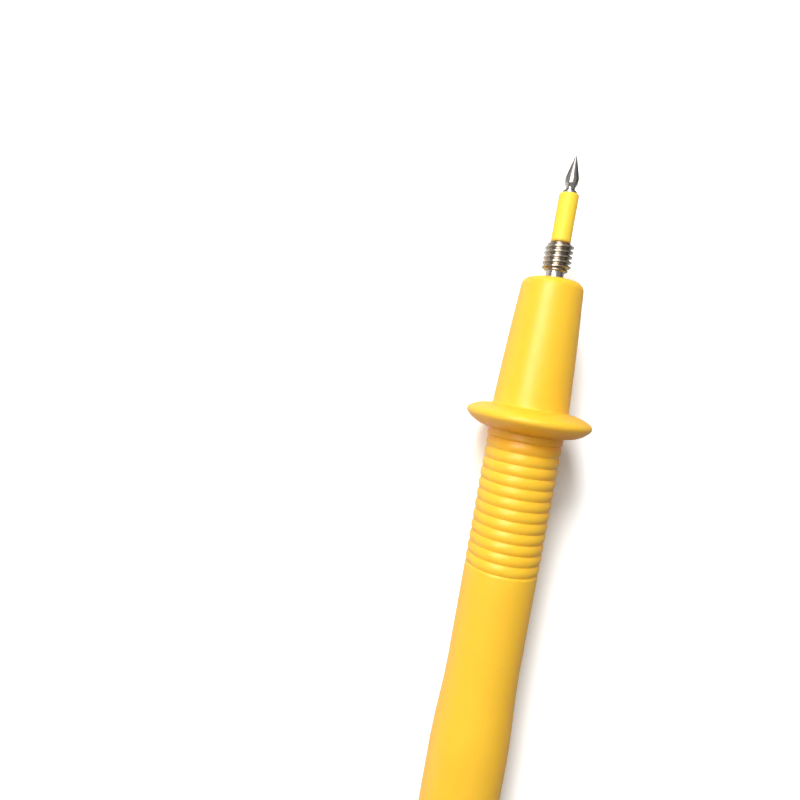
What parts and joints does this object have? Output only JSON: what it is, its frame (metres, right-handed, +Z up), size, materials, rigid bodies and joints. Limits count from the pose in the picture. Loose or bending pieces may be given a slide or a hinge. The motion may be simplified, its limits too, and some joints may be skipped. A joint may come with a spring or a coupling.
{
  "type": "test probe",
  "caption": "Hand-held test probe: pointed contact with insulating sleeve and M4 clip thread, moulded handle with round finger guard and ribbed grip, shrouded 4 mm socket at the rear.",
  "frame": {"origin": "on the surface that the probe lies on, under the middle of its bounding box", "axes": "+Z up from that surface, +Y along the probe towards its point, +X to the side; the probe lies on its guard's rim and its rear edge, so its axis falls about 2.3 degrees towards the rear"},
  "size_m": [0.0176, 0.1132, 0.0177],
  "materials": {
    "handle_plastic": "moulded, semi-gloss",
    "sleeve_plastic": "heat-shrunk, satin",
    "nickel_plate": "turned and nickel-plated, bright",
    "brass": "turned, bright",
    "spring_steel": "hardened, oiled",
    "core_plastic": "natural nylon"
  },
  "bodies": {
    "root": {"contact_rod": "nickel_plate", "tip_sleeve": "sleeve_plastic", "handle_shell": "handle_plastic", "wave_washer": "spring_steel", "conductor_rod": "brass", "core_tube": "core_plastic", "nut_washer": "nickel_plate", "jam_nut": "nickel_plate", "socket_contact": "nickel_plate", "contact_spring": "spring_steel", "socket_sleeve": "handle_plastic", "retaining_ring": "spring_steel"}
  },
  "joints": []
}
